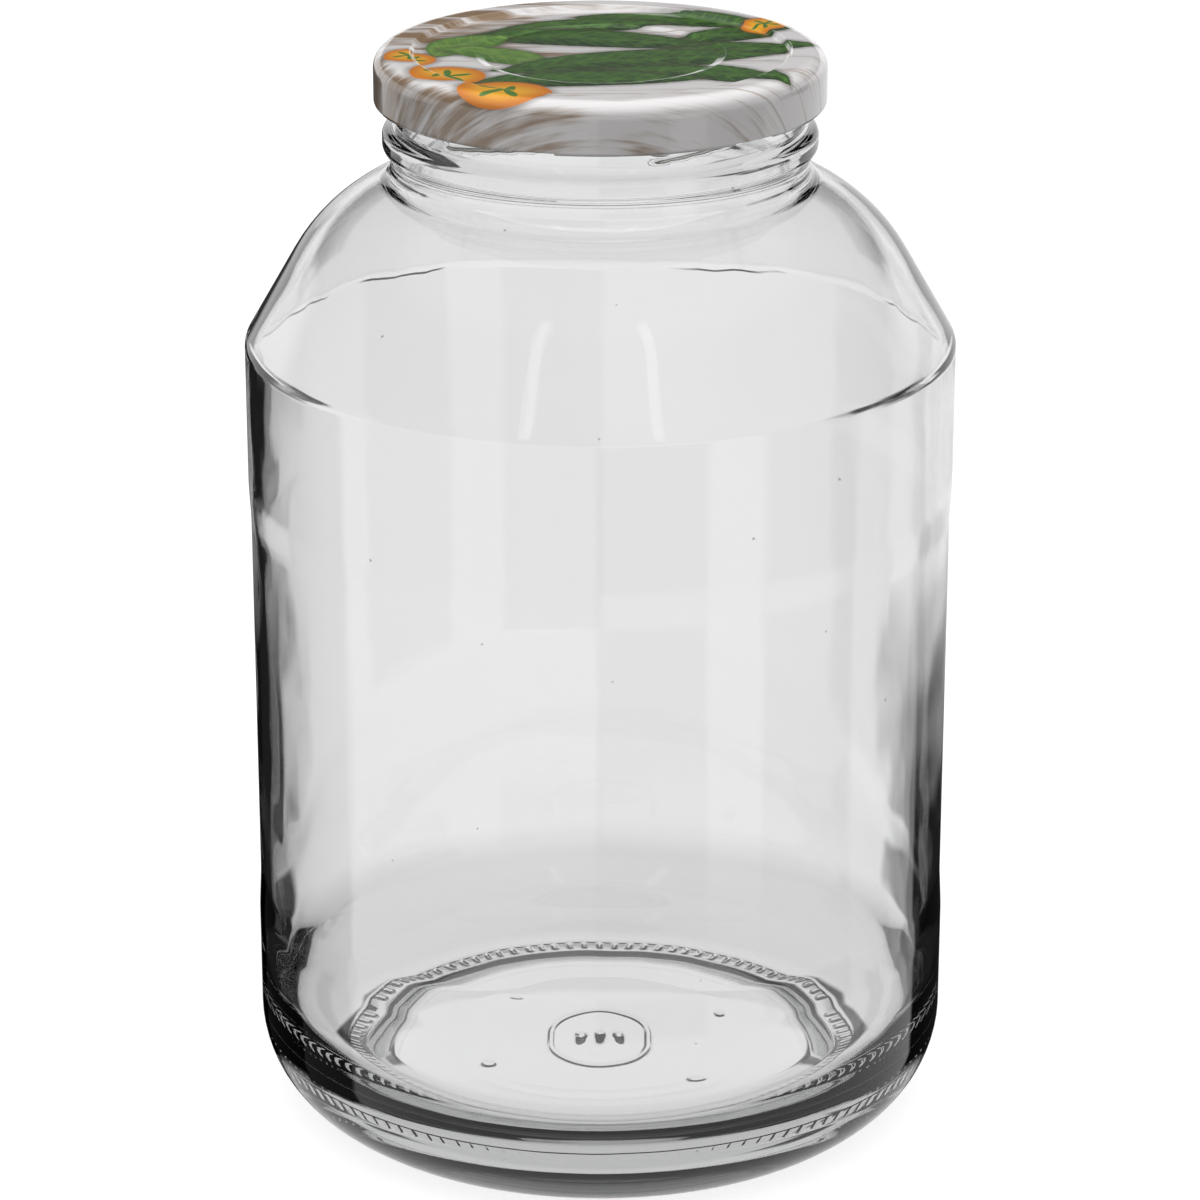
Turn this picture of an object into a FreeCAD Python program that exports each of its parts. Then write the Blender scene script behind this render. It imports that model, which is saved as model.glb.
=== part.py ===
# Large pickle jar with a six-lug twist cap.
#
# Three pieces make it: the glass jar, a pressed steel cap, and the soft seal between them. The jar
# and the cap are turned shapes, so each one is an outline spun about the vertical axis. Lengths are
# millimetres, +Z is up, and the origin is in the middle of the ring that the jar stands on.
import FreeCAD, Part
import math
import os

import Sketcher

# name, value, what it is
SIZES = [
    ("body_radius", 82.2, "outside of the two contact bands, the widest part of the jar"),
    ("rim_height", 255.9, "height of the glass rim"),
    ("wall", 3.4, "glass of the body"),
    ("bearing_inset", 21.0, "from the body to the inner edge of the ring that the jar stands on"),
    ("heel_inset", 13.9, "from the body to the foot of the heel"),
    ("heel_rise", 10.2, "height of the slope between the two arcs of the heel"),
    ("heel_foot_round", 11.0, "small arc of the heel, next to the bearing ring"),
    ("heel_body_round", 26.0, "large arc of the heel, next to the body"),
    ("push_up", 3.0, "height of the hollow under the base"),
    ("push_up_slope", 10.0, "width of the slope from the hollow to the bearing ring"),
    ("push_up_round", 8.0, "rounding of the hollow's edge"),
    ("base_glass", 6.0, "glass in the middle of the base"),
    ("floor_round", 22.0, "rounding inside, between the floor and the wall"),
    ("lower_band", 51.0, "height of the lower contact band's top edge"),
    ("upper_band", 34.0, "from the shoulder's corner down to the label panel's ramp"),
    ("panel_recess", 0.45, "how far the label panel lies behind the contact bands"),
    ("panel_ramp", 5.0, "height over which the panel runs out to a band"),
    ("corner_round", 8.0, "rounding of the corner between body and shoulder"),
    ("cone_height", 32.35, "from that corner up to the level of the knee"),
    ("knee_reach", 16.1, "from the neck out to the knee, where cone and shoulder top would meet"),
    ("knee_drop", 7.1, "from the root of the neck down to the knee"),
    ("knee_round", 42.5, "large arc of the shoulder"),
    ("neck_swell", 1.1, "how far the neck stands out from the glass under the cap"),
    ("neck_height", 4.9, "from the root of the neck up to the bead"),
    ("neck_round", 5.0, "rounding of the neck into the shoulder"),
    ("bead_height", 8.6, "height of the bead under the cap"),
    ("bead_slope", 2.6, "height of each sloping side of the bead"),
    ("bead_depth", 1.8, "how far the bead stands out from the neck"),
    ("bead_round", 2.6, "rounding of the bead"),
    ("finish_radius", 46.9, "outside of the glass under the cap"),
    ("finish_wall", 2.9, "glass under the cap"),
    ("rim_round", 1.2, "rounding of the rim"),
    ("sheet", 0.3, "steel of the cap"),
    ("cap_height", 12.0, "cap from its top to its lower edge"),
    ("cap_round", 4.0, "rounded shoulder of the cap"),
    ("skirt_gap", 4.4, "room for the thread between the glass and the cap's skirt"),
    ("bead_gap", 3.9, "from the cap's lower edge down to the bead"),
    ("panel_gap", 0.7, "room between the mouth and the raised ring's inner edge"),
    ("panel_drop", 1.1, "how far the cap's panel lies below the raised ring"),
    ("panel_step", 1.0, "width of the step down to the panel"),
    ("dish_inset", 13.8, "width of the panel, from that step in to the dish"),
    ("dish_drop", 0.5, "how far the dish lies below the panel"),
    ("dish_step", 2.0, "width of the step down to the dish"),
    ("step_round", 0.7, "rounding of the steps in the panel"),
    ("curl", 2.2, "thickness of the curled lower edge"),
    ("lug_gap", 0.3, "room between a lug and the glass"),
    ("lug_thickness", 1.5, "lug at the curl"),
    ("lug_tip", 0.9, "lug at its tip"),
    ("lug_angle", 13.5, "arc that one lug takes, in degrees"),
    ("lug_scallop", 0.6, "how far the curl is pressed up under a lug"),
    ("cap_turn", 12.0, "where the first lug ends up when the cap is tight, in degrees"),
    ("seal_thickness", 0.6, "seal pressed between the rim and the cap"),
    ("seal_overlap", 0.8, "how far the seal reaches past the rim's outside"),
]
LUG_COUNT = 6


class Size:
    """A length together with the spreadsheet expression that gives it."""

    def __init__(self, value, text):
        self.value = value
        self.text = text

    def __add__(self, other):
        return Size(self.value + as_size(other).value, "(%s + %s)" % (self.text, as_size(other).text))

    def __sub__(self, other):
        return Size(self.value - as_size(other).value, "(%s - %s)" % (self.text, as_size(other).text))

    def __mul__(self, factor):
        return Size(self.value * factor, "(%s * %s)" % (self.text, factor))


def as_size(value):
    if isinstance(value, Size):
        return value
    return Size(float(value), str(value))


def make_sheet(doc):
    """Put every size in the spreadsheet, and return them by name."""
    sheet = doc.addObject("Spreadsheet::Sheet", "sizes")
    for row, (name, value, meaning) in enumerate(SIZES, start=1):
        sheet.set("A%d" % row, name)
        sheet.set("B%d" % row, str(value))
        sheet.set("C%d" % row, meaning)
        sheet.setAlias("B%d" % row, name)
    doc.recompute()
    return {name: Size(float(sheet.get(name)), "sizes." + name) for name, _, _ in SIZES}


def make_body(doc, name):
    body = doc.addObject("PartDesign::Body", name)
    body.Label = name
    return body


def make_sketch(body, name):
    """A sketch on the upright plane through the axis: across is X, up is Z."""
    sketch = body.newObject("Sketcher::SketchObject", name)
    plane = [item for item in body.Origin.OriginFeatures if item.Role == "XZ_Plane"][0]
    sketch.AttachmentSupport = [(plane, "")]
    sketch.MapMode = "FlatFace"
    return sketch


def bind(sketch, kind, items, size):
    """Add one measured constraint, and tie it to the spreadsheet."""
    index = sketch.addConstraint(Sketcher.Constraint(kind, *items, size.value))
    sketch.setExpression("Constraints[%d]" % index, size.text)


def place_point(sketch, geometry, end, across, up):
    """Hold a point of the sketch at its distance from the axis and its height."""
    if across.value == 0.0:
        sketch.addConstraint(Sketcher.Constraint("PointOnObject", geometry, end, -2))
    else:
        bind(sketch, "DistanceX", (-1, 1, geometry, end), across)
    if up.value == 0.0:
        sketch.addConstraint(Sketcher.Constraint("PointOnObject", geometry, end, -1))
    else:
        bind(sketch, "DistanceY", (-1, 1, geometry, end), up)


def corner_arc(before, corner, after, radius):
    """The arc that rounds a corner: its centre and its two tangent points."""
    towards_before = (before - corner).normalize()
    towards_after = (after - corner).normalize()
    half_angle = towards_before.getAngle(towards_after) / 2
    reach = radius / math.tan(half_angle)
    start = corner + towards_before * reach
    finish = corner + towards_after * reach
    bisector = (towards_before + towards_after).normalize()
    centre = corner + bisector * (radius / math.sin(half_angle))
    return centre, start, finish


def draw_outline(sketch, corners):
    """Draw a closed outline of lines whose corners may be rounded.

    Each corner is (across, up, rounding), with rounding None for a sharp one. The corners are held by
    the spreadsheet, the lines pass through them, and the arcs are tangent to the lines.
    """
    corners = [(as_size(across), as_size(up), rounding) for across, up, rounding in corners]
    points = [FreeCAD.Vector(across.value, up.value, 0) for across, up, _ in corners]
    count = len(corners)
    starts = list(points)
    finishes = list(points)
    centres = [None] * count
    for i, (_, _, rounding) in enumerate(corners):
        if rounding is not None:
            arc = corner_arc(points[i - 1], points[i], points[(i + 1) % count], rounding.value)
            centres[i], starts[i], finishes[i] = arc
    lines = []
    for i in range(count):
        segment = Part.LineSegment(finishes[i], starts[(i + 1) % count])
        lines.append(sketch.addGeometry(segment, False))
    for i, (across, up, rounding) in enumerate(corners):
        line_in = lines[i - 1]
        line_out = lines[i]
        if rounding is None:
            sketch.addConstraint(Sketcher.Constraint("Coincident", line_in, 2, line_out, 1))
            place_point(sketch, line_out, 1, across, up)
        else:
            arc = (centres[i], starts[i], finishes[i])
            add_rounding(sketch, points[i], arc, line_in, line_out, corners[i])


def add_rounding(sketch, point, arc, line_in, line_out, corner):
    """Round one corner of an outline with an arc that is tangent to both lines."""
    across, up, rounding = corner
    centre, start, finish = arc
    turn = (start - centre).cross(finish - centre).z
    first, last = (start, finish) if turn > 0 else (finish, start)
    first_angle = math.atan2(first.y - centre.y, first.x - centre.x)
    last_angle = math.atan2(last.y - centre.y, last.x - centre.x)
    circle = Part.Circle(centre, FreeCAD.Vector(0, 0, 1), rounding.value)
    curve = sketch.addGeometry(Part.ArcOfCircle(circle, first_angle, last_angle), False)
    mark = sketch.addGeometry(Part.Point(point), True)
    place_point(sketch, mark, 1, across, up)
    sketch.addConstraint(Sketcher.Constraint("PointOnObject", mark, 1, line_in))
    sketch.addConstraint(Sketcher.Constraint("PointOnObject", mark, 1, line_out))
    start_end, finish_end = (1, 2) if turn > 0 else (2, 1)
    sketch.addConstraint(Sketcher.Constraint("Tangent", line_in, 2, curve, start_end))
    sketch.addConstraint(Sketcher.Constraint("Tangent", line_out, 1, curve, finish_end))
    bind(sketch, "Radius", (curve,), rounding)


def spin(body, kind, name, sketch, angle=None):
    """Turn a sketch about the vertical axis, all the way round or through one named angle."""
    feature = body.newObject("PartDesign::" + kind, name)
    feature.Profile = (sketch, [""])
    feature.ReferenceAxis = (sketch, ["V_Axis"])
    if angle is None:
        feature.Angle = 360.0
    else:
        feature.Midplane = True
        feature.setExpression("Angle", angle.text)
    return feature


def cap_top(z):
    """Height of the raised ring of the cap, the highest part of the whole jar."""
    return z["rim_height"] + z["seal_thickness"] + z["sheet"]


def cap_radius(z):
    return z["finish_radius"] + z["skirt_gap"] + z["sheet"]


def bore_radius(z):
    return z["finish_radius"] - z["finish_wall"]


def jar_levels(z):
    """Heights of the glass from the cap downwards: bead, neck, knee and shoulder corner."""
    bead_top = cap_top(z) - z["cap_height"] - z["bead_gap"]
    neck_root = bead_top - z["bead_height"] - z["neck_height"]
    knee = neck_root - z["knee_drop"]
    return bead_top, neck_root, knee, knee - z["cone_height"]


def jar_outline(z):
    """The outside of the jar in section, from the middle of the base to the rim."""
    body = z["body_radius"]
    bearing = body - z["bearing_inset"]
    panel = body - z["panel_recess"]
    neck = z["finish_radius"] + z["neck_swell"]
    bead = neck + z["bead_depth"]
    bead_top, neck_root, knee, shoulder = jar_levels(z)
    bead_bottom = bead_top - z["bead_height"]
    upper_ramp = shoulder - z["upper_band"]
    return [
        (0, z["push_up"], None),
        (bearing - z["push_up_slope"], z["push_up"], z["push_up_round"]),
        (bearing, 0, None),
        (body - z["heel_inset"], 0, z["heel_foot_round"]),
        (body, z["heel_rise"], z["heel_body_round"]),
        (body, z["lower_band"], None),
        (panel, z["lower_band"] + z["panel_ramp"], None),
        (panel, upper_ramp - z["panel_ramp"], None),
        (body, upper_ramp, None),
        (body, shoulder, z["corner_round"]),
        (neck + z["knee_reach"], knee, z["knee_round"]),
        (neck, neck_root, z["neck_round"]),
        (neck, bead_bottom, None),
        (bead, bead_bottom + z["bead_slope"], z["bead_round"]),
        (bead, bead_top - z["bead_slope"], z["bead_round"]),
        (z["finish_radius"], bead_top, None),
        (z["finish_radius"], z["rim_height"], z["rim_round"]),
        (0, z["rim_height"], None),
    ]


def hollow_outline(z):
    """The inside of the jar in section, a wall's thickness inside the outline."""
    floor = z["push_up"] + z["base_glass"]
    inner = z["body_radius"] - z["wall"]
    knee_radius = z["finish_radius"] + z["neck_swell"] + z["knee_reach"] - z["wall"]
    _, neck_root, knee, shoulder = jar_levels(z)
    return [
        (0, floor, None),
        (inner, floor, z["floor_round"]),
        (inner, shoulder, z["corner_round"]),
        (knee_radius, knee - z["wall"] * 0.5, z["knee_round"] - z["wall"]),
        (bore_radius(z), neck_root, z["neck_round"]),
        (bore_radius(z), z["rim_height"], None),
        (0, z["rim_height"], None),
    ]


def make_jar(doc, z):
    """The glass: the outline spun solid, then the inside cut out of it through the mouth."""
    body = make_body(doc, "jar_glass")
    outside = make_sketch(body, "jar_outside")
    draw_outline(outside, jar_outline(z))
    spin(body, "Revolution", "jar_solid", outside)
    inside = make_sketch(body, "jar_inside")
    draw_outline(inside, hollow_outline(z))
    spin(body, "Groove", "jar_hollow", inside)
    return body


def cap_outline(z):
    """The cap's sheet in section, out along its upper side and back along its lower side."""
    top = cap_top(z)
    bottom = top - z["cap_height"]
    panel = top - z["panel_drop"]
    dish = panel - z["dish_drop"]
    panel_edge = bore_radius(z) - z["panel_gap"] - z["panel_step"]
    dish_edge = panel_edge - z["dish_inset"]
    skirt_inside = cap_radius(z) - z["sheet"]
    curl_inside = cap_radius(z) - z["curl"]
    step = z["step_round"]
    roll = z["curl"] * 0.45
    upper = [
        (0, dish, None),
        (dish_edge - z["dish_step"], dish, step),
        (dish_edge, panel, step),
        (panel_edge, panel, step),
        (panel_edge + z["panel_step"], top, step),
        (cap_radius(z), top, z["cap_round"]),
        (cap_radius(z), bottom, roll),
        (curl_inside, bottom, roll),
        (curl_inside, bottom + z["curl"], roll),
        (skirt_inside, bottom + z["curl"], None),
        (skirt_inside, top - z["sheet"], z["cap_round"] - z["sheet"]),
    ]
    lower = [(across, up - z["sheet"], rounding) for across, up, rounding in reversed(upper[1:5])]
    return upper + lower + [(0, dish - z["sheet"], None)]


def lug_outline(z):
    """One lug in section: a tongue that tapers from the curl towards the glass."""
    foot = cap_radius(z) - z["curl"] * 0.5
    tip = z["finish_radius"] + z["lug_gap"]
    bottom = cap_top(z) - z["cap_height"] + z["lug_scallop"]
    top = bottom + z["lug_thickness"]
    return [(foot, bottom, None), (tip, top - z["lug_tip"], None), (tip, top, None), (foot, top, None)]


def scallop_outline(z):
    """What is pressed up out of the curl under a lug, in section."""
    inside = cap_radius(z) - z["curl"] - z["sheet"]
    outside = cap_radius(z) + z["sheet"]
    bottom = cap_top(z) - z["cap_height"]
    low = bottom - z["sheet"]
    high = bottom + z["lug_scallop"]
    return [(inside, low, None), (outside, low, None), (outside, high, None), (inside, high, None)]


def make_cap(doc, z):
    """The twist cap: spun sheet, with six lugs pressed in from its curled lower edge."""
    body = make_body(doc, "lid")
    section = make_sketch(body, "cap_section")
    draw_outline(section, cap_outline(z))
    spin(body, "Revolution", "cap_sheet", section)
    lug_section = make_sketch(body, "lug_section")
    draw_outline(lug_section, lug_outline(z))
    lug = spin(body, "Revolution", "lug", lug_section, z["lug_angle"])
    scallop_section = make_sketch(body, "scallop_section")
    draw_outline(scallop_section, scallop_outline(z))
    scallop = spin(body, "Groove", "lug_scallop", scallop_section, z["lug_angle"])
    pattern = body.newObject("PartDesign::PolarPattern", "lugs")
    pattern.Originals = [lug, scallop]
    pattern.Axis = (lug_section, ["V_Axis"])
    pattern.Angle = 360.0
    pattern.Occurrences = LUG_COUNT
    body.Tip = pattern
    body.setExpression("Placement.Rotation.Angle", z["cap_turn"].text)
    return body


def make_seal(doc, z):
    """The seal: a soft ring that the cap presses onto the rim."""
    body = make_body(doc, "lid_seal")
    outside = z["finish_radius"] + z["seal_overlap"]
    rim = z["rim_height"]
    under_cap = rim + z["seal_thickness"]
    section = make_sketch(body, "seal_section")
    draw_outline(section, [
        (bore_radius(z), rim, None),
        (outside, rim, None),
        (outside, under_cap, None),
        (bore_radius(z), under_cap, None),
    ])
    spin(body, "Revolution", "seal_ring", section)
    return body


def check(doc, bodies):
    """Stop if anything in the document failed to build."""
    for item in doc.Objects:
        if "Invalid" in item.State or "Error" in item.State:
            raise RuntimeError("%s did not build: %s" % (item.Name, item.State))
    for body in bodies:
        if body.Shape.isNull() or not body.Shape.isValid():
            raise RuntimeError("%s has no valid shape" % body.Label)


def main():
    doc = FreeCAD.newDocument("pickle_jar")
    z = make_sheet(doc)
    bodies = [make_jar(doc, z), make_cap(doc, z), make_seal(doc, z)]
    doc.recompute()
    check(doc, bodies)
    os.makedirs("parts", exist_ok=True)
    for body in bodies:
        body.Shape.exportStep("parts/%s.step" % body.Label)
        print("%-10s %9.1f mm3, %3d faces" % (body.Label, body.Shape.Volume, len(body.Shape.Faces)))
    print("top of the cap at %.1f mm, rim at %.1f mm" % (cap_top(z).value, z["rim_height"].value))


main()
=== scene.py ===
# %% [markdown]
# # A large glass pickle jar with a printed lug cap
#
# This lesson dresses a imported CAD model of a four-litre pickle jar. The jar is one piece of clear moulded
# glass. On its mouth rests a pressed steel cap with a glossy printed top, and a soft ring inside the cap
# seals the two. The cap and the ring keep the model's shape and get a finish. The glass is drawn again here,
# to the same overall size and close to the model but not equal to it, and then comes the light.

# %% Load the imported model
import math
import bpy
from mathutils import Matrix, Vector, noise


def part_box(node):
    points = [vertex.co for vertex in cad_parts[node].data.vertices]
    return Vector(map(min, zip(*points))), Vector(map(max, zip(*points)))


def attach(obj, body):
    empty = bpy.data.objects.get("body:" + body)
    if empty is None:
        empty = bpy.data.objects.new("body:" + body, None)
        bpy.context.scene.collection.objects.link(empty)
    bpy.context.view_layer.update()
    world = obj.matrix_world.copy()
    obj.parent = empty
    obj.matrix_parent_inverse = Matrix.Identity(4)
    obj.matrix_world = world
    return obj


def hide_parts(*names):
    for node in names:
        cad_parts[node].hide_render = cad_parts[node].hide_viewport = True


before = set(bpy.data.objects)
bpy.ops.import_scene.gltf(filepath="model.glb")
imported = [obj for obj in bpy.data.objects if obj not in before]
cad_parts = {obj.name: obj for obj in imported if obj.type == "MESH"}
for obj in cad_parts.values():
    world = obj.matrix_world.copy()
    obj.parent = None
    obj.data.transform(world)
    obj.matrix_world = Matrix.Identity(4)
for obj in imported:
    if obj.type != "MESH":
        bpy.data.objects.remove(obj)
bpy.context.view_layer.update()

# %% [markdown]
# ## Working in millimetres
#
# Glass and sheet steel are drawn in millimetres, while Blender counts in metres. One factor between the two
# keeps every size below the same as on a workshop drawing.

# %% Units and the heights that the CAD gives
MM = 0.001
JAR_LOW, JAR_HIGH = (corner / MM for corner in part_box("jar_glass"))
CAP_LOW, CAP_HIGH = (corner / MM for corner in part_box("lid"))
BODY_RADIUS = round(JAR_HIGH.x, 2)
RIM_HEIGHT = round(JAR_HIGH.z, 2)
CAP_RADIUS, CAP_TOP, CAP_EDGE = CAP_HIGH.x, CAP_HIGH.z, CAP_LOW.z
print(f"body radius {BODY_RADIUS:.1f}, rim at {RIM_HEIGHT:.1f}, cap {CAP_EDGE:.1f} to {CAP_TOP:.1f} mm")

# %% [markdown]
# ## The outline of the jar
#
# A jar is blown in a turned mould, so its shape is an outline spun about an axis. An outline could be one
# long list of points, but a mould maker thinks in corners and the radius of each: that is shorter, and a
# size can be changed alone. The helper below walks along such corners and puts an arc in each of them.
#
# These outlines have sizes of their own. Against the model, the inside of the heel is up to 4 mm narrower and
# that of the shoulder up to 3.4 mm, the corner under the shoulder is sharper, and the hollow under the base
# is deeper. The eight sizes of the inner heel, the floor and the underside were found by a search for how
# light runs through the base in one view. They suit that view and are no measure of real glass.

# %% Round the corners of an outline
def rounded(corners, step):
    """Points (radius, height) along straight runs between corners (radius, height, rounding), in mm."""
    points = [Vector(corners[0][:2])]
    for before, corner, after in zip(corners, corners[1:], corners[2:]):
        here = Vector(corner[:2])
        back = (Vector(before[:2]) - here).normalized()
        ahead = (Vector(after[:2]) - here).normalized()
        half = back.angle(ahead) / 2
        bend = math.pi - 2 * half
        if corner[2] <= 0 or bend < 0.02:
            points.append(here)
            continue
        reach = corner[2] / math.tan(half)
        centre = here + (back + ahead).normalized() * corner[2] / math.sin(half)
        start, end = here + back * reach, here + ahead * reach
        count = max(3, math.ceil(math.degrees(bend) / 4.5), math.ceil(corner[2] * bend / step))
        turn = (start - centre).angle_signed(end - centre)
        for k in range(count + 1):
            spoke = start - centre
            angle = -turn * k / count
            points.append(centre + Vector((spoke.x * math.cos(angle) - spoke.y * math.sin(angle),
                                           spoke.x * math.sin(angle) + spoke.y * math.cos(angle))))
    points.append(Vector(corners[-1][:2]))
    walked = [points[0]]
    for point in points[1:]:
        gap = (point - walked[-1]).length
        parts = max(1, math.ceil(gap / step))
        start = walked[-1]
        walked += [start.lerp(point, k / parts) for k in range(1, parts + 1)]
    return walked


PANEL_RADIUS, INNER_RADIUS = 81.75, 78.8
MOUTH_RADIUS, FINISH_RADIUS, NECK_RADIUS, BEAD_RADIUS = 44.0, 46.9, 48.0, 49.8
FINISH_LOW, MOUTH_LOW = 241.0, 252.0
FOOT = [(0, 3.7, 0), (50.4, 3.7, 8), (59.1, 0, 0), (66.0, 0, 0)]
BODY = [(64.8, 0, 0), (68.3, 0, 11), (BODY_RADIUS, 10.2, 26), (BODY_RADIUS, 48, 60), (PANEL_RADIUS, 57, 60),
        (PANEL_RADIUS, 147, 60), (BODY_RADIUS, 155, 60), (BODY_RADIUS, 189.0, 3.5), (64.1, 220.3, 42.5),
        (NECK_RADIUS, 227.4, 5), (NECK_RADIUS, 232.3, 0), (BEAD_RADIUS, 234.9, 2.6),
        (BEAD_RADIUS, 238.3, 2.6), (FINISH_RADIUS, 240.9, 0), (FINISH_RADIUS, FINISH_LOW, 0)]
NECK = [(FINISH_RADIUS, FINISH_LOW, 0), (FINISH_RADIUS, RIM_HEIGHT, 1.2), (MOUTH_RADIUS, RIM_HEIGHT, 0),
        (MOUTH_RADIUS, MOUTH_LOW, 0)]
INNER_SHOULDER = [(MOUTH_RADIUS, MOUTH_LOW, 0), (MOUTH_RADIUS, 225.4, 5), (61.7, 217.6, 39.1)]
HOLLOW = [*INNER_SHOULDER, (77.29, 188.9, 0), (77.56, 188.4, 0), (77.77, 188.0, 0), (78.1, 187.4, 0.2),
          (INNER_RADIUS, 186.6, 0.2), (INNER_RADIUS, 7.4, 27), (33.7, 10.1, 15), (0, 10.7, 0)]
SMOOTH_SHOULDER = [*INNER_SHOULDER, (INNER_RADIUS, 188.1, 3.5), (INNER_RADIUS, 160.0, 0)]
FOOT_STEP, BODY_STEP, NECK_STEP, HOLLOW_STEP = 0.6, 12.0, 0.65, 3.4
FINE_ROWS, COARSE_EVERY = [(0, 14), (27, 35), (50, 70)], 5
foot = [point for k, point in enumerate(rounded(FOOT, FOOT_STEP))
        if k % COARSE_EVERY == 0 or any(low <= point.x <= high for low, high in FINE_ROWS)]
body = rounded(BODY, BODY_STEP)
neck = rounded(NECK, NECK_STEP)
hollow = rounded(HOLLOW, HOLLOW_STEP)
smooth_shoulder = rounded(SMOOTH_SHOULDER, HOLLOW_STEP)
print("outline points:", len(foot), "foot,", len(body), "body,", len(neck), "neck,", len(hollow), "hollow")

# %% [markdown]
# ## Uneven glass
#
# The mould shapes the outside of a jar, but only air shapes the inside. So the wall is never quite even:
# long soft waves run through it, and they bend whatever is seen through the glass. A bump map could fake
# this. Here the inner surface really moves, by up to about a tenth of a millimetre, because the bend depends
# on the true wedge between the two surfaces. Where the wall turns into the shoulder, the blown inside makes a
# sharp crease that wanders up and down. It fades out in front, which is a choice for this view.

# %% The waves of the inner surface
WAVES = [(44.0, 0.13, 1.0), (17.0, 0.065, 1.5), (6.5, 0.036, 2.0)]
CREASE_HEIGHT, CREASE_REACH, CREASE_WANDER = 186.3, 9.0, 2.2
CREASE_FROM, CREASE_FADE, CREASE_LEAST = -0.20, 0.32, 0.35


def unevenness(angle, height, radius):
    """How far the blown inner surface leaves its outline, in mm."""
    total = 0.0
    for size, depth, tall in WAVES:
        place = Vector((math.cos(angle) * radius, math.sin(angle) * radius, height / tall)) / size
        total += depth * noise.noise(place + Vector((size, 3.1, 7.7)))
    return total


def creased(angle):
    """How strong the crease is: full behind and at the sides, gone in front."""
    share = min(1.0, max(0.0, (math.sin(angle) - CREASE_FROM) / CREASE_FADE))
    patchy = 0.72 + 0.7 * noise.noise(Vector((math.cos(angle), math.sin(angle), 0.7)) * 2.6)
    return share * share * (3 - 2 * share) * min(1.0, max(CREASE_LEAST, patchy))


def smoothed(height):
    """The radius inside the shoulder where there is no crease, in mm."""
    for high, low in zip(smooth_shoulder, smooth_shoulder[1:]):
        if low.y < height <= high.y:
            return low.x + (high.x - low.x) * (height - low.y) / (high.y - low.y)


def wander(angle, height):
    """How far the crease under the shoulder strays in height, in mm."""
    near = max(0.0, 1 - abs(height - CREASE_HEIGHT) / CREASE_REACH) * creased(angle)
    ring = Vector((math.cos(angle), math.sin(angle), 0.0))
    return near * CREASE_WANDER * (noise.noise(ring * 4.5) + 0.4 * noise.noise(ring * 13)
                                   + 0.25 * noise.noise(ring * 30))


print("waves:", ", ".join(f"{size} mm wide {depth} mm deep" for size, depth, _ in WAVES))

# %% [markdown]
# ## The thread that the cap grips
#
# A lug cap has six short lugs, and each slides under its own short slanted ridge on the neck. The ridges
# fall towards the left as you look at the jar. They could be separate strips, but in the mould they are
# part of the neck, so they are pushed out of the same surface.

# %% Six slanted ridges on the neck
RIDGES = 6
RIDGE_SPAN = math.radians(50)
RIDGE_LOW, RIDGE_RISE = 243.1, 5.2
RIDGE_HEIGHT, RIDGE_HALF_WIDTH = 1.75, 1.45
RIDGE_TURN = math.radians(-90 - 47)
RIDGE_RUN_IN, RIDGE_RUN_OUT = 0.10, 0.16


def ridge(angle, height):
    """How far the thread stands out of the neck here, in mm."""
    along = ((angle - RIDGE_TURN) % (math.tau / RIDGES)) / RIDGE_SPAN
    if along > 1:
        return 0.0
    middle = RIDGE_LOW + RIDGE_RISE * along
    across = abs(height - middle) / RIDGE_HALF_WIDTH
    if across >= 1:
        return 0.0
    ends = min(1.0, along / RIDGE_RUN_IN, (1 - along) / RIDGE_RUN_OUT)
    return RIDGE_HEIGHT * math.sin(ends * math.pi / 2) * (1 - across ** 2.4) ** 0.8


print(f"{RIDGES} ridges, {math.degrees(RIDGE_SPAN):.0f} degrees long, {RIDGE_RISE} mm rise")

# %% [markdown]
# ## The marks under the foot
#
# A mould maker cuts a ring of short ribs where the jar stands, so that the hot base keeps its skin off the
# belt, and marks the hollow middle of the base. Here the middle has a plain round line and a few dots. Clear
# glass shows every step of its surface, so these are real steps of a third of a millimetre.

# %% Ribs, a round line and dots
RIBS = 102
RIB_HEIGHT, RIB_START, RIB_END = 0.34, 60.9, 65.0
RIB_EASE_IN, RIB_EASE_OUT, RIB_FLAT, RIB_SIDE = 0.8, 0.9, 0.07, 0.22
MARK_HEIGHT = 0.32
LINE_RADIUS, LINE_FLAT, LINE_SIDE = 12.0, 0.1, 0.8
DOTS = [(-4.6, 0.0, 1.5), (0.0, 0.0, 1.5), (4.6, 0.0, 1.5), (-27.0, -11.0, 2.2), (23.0, -21.0, 2.4),
        (-21.0, 23.0, 1.8), (30.0, 11.0, 1.6)]


def soft_step(value, low, high):
    """Rises softly from 0 to 1 between two places."""
    share = min(1.0, max(0.0, (value - low) / (high - low)))
    return share * share * (3 - 2 * share)


def rib(angle, radius):
    """How far a rib of the bearing ring stands down, in mm."""
    ring = (soft_step(radius, RIB_START, RIB_START + RIB_EASE_IN)
            * (1 - soft_step(radius, RIB_END - RIB_EASE_OUT, RIB_END)))
    if ring == 0:
        return 0.0
    shift = 0.10 * noise.noise(Vector((math.cos(angle), math.sin(angle), 0.3)) * 30)
    off = abs((angle * RIBS / math.tau + shift) % 1.0 - 0.5)
    return RIB_HEIGHT * ring * (1 - soft_step(off, RIB_FLAT, RIB_SIDE))


def mark(x, y):
    """How far the round line and the dots stand down from the hollow of the base, in mm."""
    line = abs(math.hypot(x, y) - LINE_RADIUS)
    step = 1 - soft_step(line, LINE_FLAT, LINE_SIDE)
    for dot_x, dot_y, size in DOTS:
        step = max(step, 1 - soft_step(math.hypot(x - dot_x, y - dot_y), size - 1.0, size))
    return MARK_HEIGHT * step


print(RIBS, "ribs,", len(DOTS), "dots")

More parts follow.
